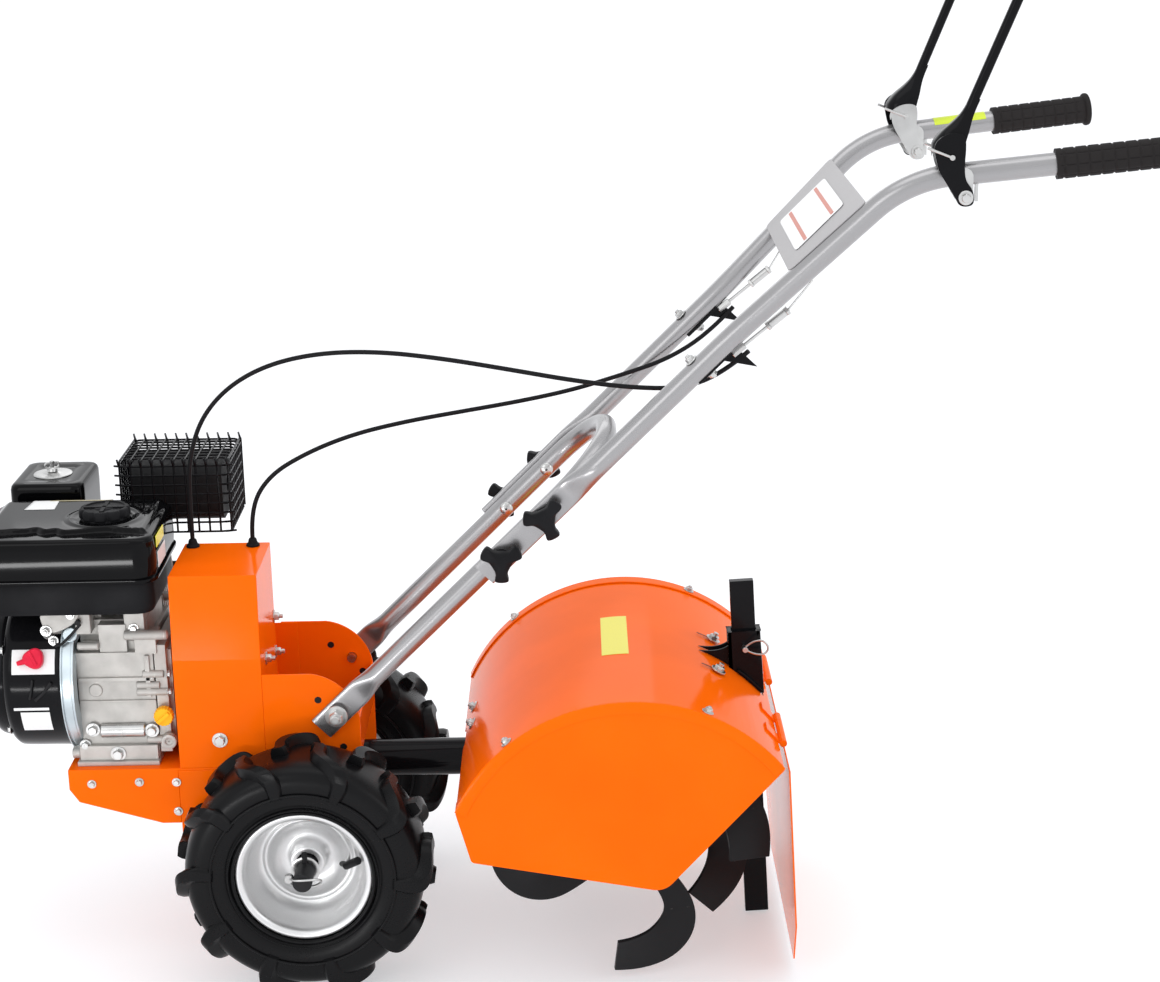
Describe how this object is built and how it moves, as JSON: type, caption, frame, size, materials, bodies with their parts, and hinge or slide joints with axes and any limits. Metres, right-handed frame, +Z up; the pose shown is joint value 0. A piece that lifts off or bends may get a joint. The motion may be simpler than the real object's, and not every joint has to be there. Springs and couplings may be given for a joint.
{
  "type": "walk-behind rear-tine garden tiller",
  "caption": "Orange walk-behind garden tiller: petrol engine in front, two lugged wheels, shielded rear tine rotor, depth stake, rear flap and long silver handlebars.",
  "frame": {"origin": "on the floor under the middle of the bounding box, on the centre plane", "axes": "+X forward towards the engine, +Y to the left-hand side of the machine, +Z up"},
  "size_m": [1.494, 0.478, 1.3063],
  "materials": {
    "orange_paint": "gloss",
    "black_paint": "gloss",
    "silver_tube": "satin",
    "zinc": "satin",
    "rim_silver": "gloss",
    "tyre_rubber": "satin",
    "grip_rubber": "matte",
    "cast_alu": "cast",
    "black_plastic": "matte",
    "tank_enamel": "gloss",
    "console_grey": "satin",
    "blade_steel": "satin",
    "cast_iron": "satin",
    "cable_black": "satin"
  },
  "bodies": {
    "chassis": {"engine_bed": "orange_paint", "side_plate_left": "orange_paint", "side_plate_right": "orange_paint", "cross_plate": "orange_paint", "belt_cover": "orange_paint", "cable_grommets": "black_plastic", "wheel_gearbox": "cast_iron", "transmission_tube": "black_paint", "rotor_gearbox": "cast_iron", "shield_skin": "orange_paint", "shield_side_left": "orange_paint", "shield_side_right": "orange_paint", "shield_bracket": "orange_paint", "hinge_leaves": "orange_paint", "stake_sleeve": "black_paint", "handle_lower": "silver_tube", "handle_upper_left": "silver_tube", "handle_upper_right": "silver_tube", "handle_knobs": "black_plastic", "handle_bolts": "zinc", "grip_left": "grip_rubber", "grip_right": "grip_rubber", "console_plate": "console_grey", "lever_lugs": "zinc", "cable_stops": "zinc", "cable_drive": "cable_black", "cable_rotor": "cable_black", "crankcase": "cast_alu", "crankcase_cover": "cast_alu", "cylinder": "cast_alu", "shroud_plate": "zinc", "fan_housing": "black_paint", "recoil_starter": "black_paint", "fuel_tank": "tank_enamel", "tank_skirt": "black_plastic", "fuel_cap": "black_plastic", "carburettor": "cast_alu", "air_cleaner_base": "black_plastic", "air_cleaner": "black_plastic", "muffler": "black_paint", "muffler_guard": "black_paint"},
    "wheel_left": {"tyre_left": "tyre_rubber", "rim_left": "rim_silver", "half_axle_left": "cast_iron"},
    "wheel_right": {"tyre_right": "tyre_rubber", "rim_right": "rim_silver", "half_axle_right": "cast_iron"},
    "rotor": {"rotor_shaft": "cast_iron", "tine_blades": "blade_steel"},
    "flap": {"rear_flap": "orange_paint"},
    "stake": {"depth_stake": "black_paint"},
    "lever_l": {"lever_left": "black_paint"},
    "lever_r": {"lever_right": "black_paint"}
  },
  "joints": [
    {"name": "wheel_left_spin", "type": "hinge", "parent": "chassis", "child": "wheel_left", "pos_m": [0.30903, 0, 0.1675], "axis": [0, 1, 0], "continuous": true},
    {"name": "wheel_right_spin", "type": "hinge", "parent": "chassis", "child": "wheel_right", "pos_m": [0.30903, 0, 0.1675], "axis": [0, 1, 0], "continuous": true},
    {"name": "rotor_spin", "type": "hinge", "parent": "chassis", "child": "rotor", "pos_m": [-0.10897, 0, 0.195], "axis": [0, 1, 0], "continuous": true},
    {"name": "flap_hinge", "type": "hinge", "parent": "chassis", "child": "flap", "pos_m": [-0.30919, 0, 0.31632], "axis": [0, 1, 0], "range_deg": [0, 85]},
    {"name": "stake_slide", "type": "slide", "parent": "chassis", "child": "stake", "axis": [0.0489, 0, 0.9988], "range_m": [-0.04, 0.1]},
    {"name": "lever_left_squeeze", "type": "hinge", "parent": "chassis", "child": "lever_l", "pos_m": [-0.51097, 0.194, 1.02715], "axis": [-0.0608, -0.9982, 0], "range_deg": [0, 38], "stiffness_Nm_per_rad": 1.5, "springref_deg": -20.05},
    {"name": "lever_right_squeeze", "type": "hinge", "parent": "chassis", "child": "lever_r", "pos_m": [-0.51097, -0.194, 1.02715], "axis": [0.0608, -0.9982, 0], "range_deg": [0, 38], "stiffness_Nm_per_rad": 1.5, "springref_deg": -20.05}
  ]
}
